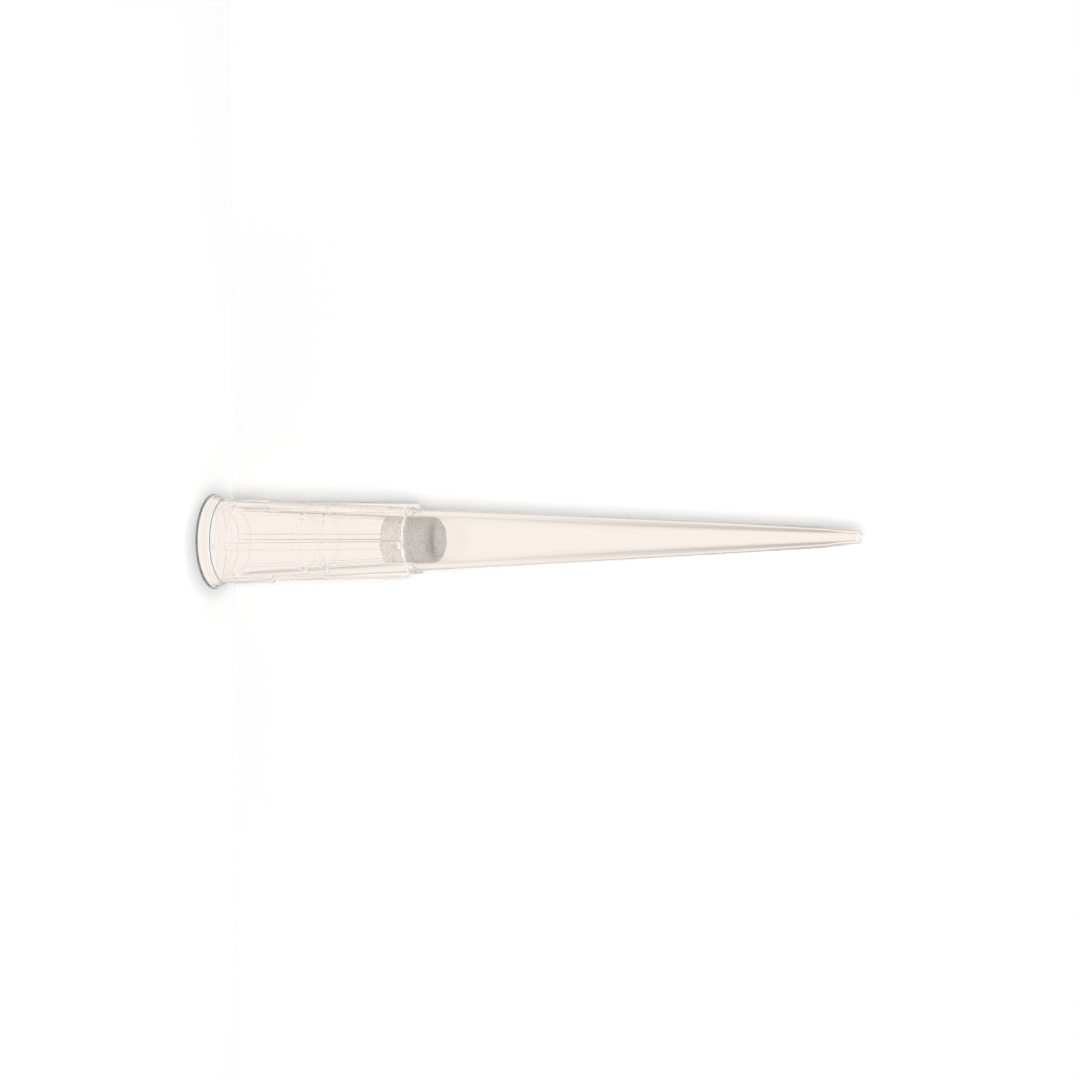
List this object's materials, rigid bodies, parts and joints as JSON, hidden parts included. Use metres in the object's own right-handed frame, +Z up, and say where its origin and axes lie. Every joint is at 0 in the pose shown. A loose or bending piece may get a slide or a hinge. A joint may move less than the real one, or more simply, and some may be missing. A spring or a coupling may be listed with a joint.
{
  "type": "pipette tip",
  "caption": "Clear filter pipette tip: long tapered cone, ribbed collar, flared rim and a porous plug pressed into the bore.",
  "frame": {"origin": "centre of the rim's face, which the tip stands on", "axes": "+Z up the tip's axis, from the open mouth to the dispensing end; one long rib points to -Y"},
  "size_m": [0.0082, 0.0082, 0.06],
  "materials": {
    "clear_polypropylene": "clear moulded polypropylene, smooth and glossy",
    "sintered_polyethylene": "porous sintered polyethylene, matt and granular"
  },
  "bodies": {
    "root": {"tip_body": "clear_polypropylene", "filter_plug": "sintered_polyethylene"}
  },
  "joints": []
}
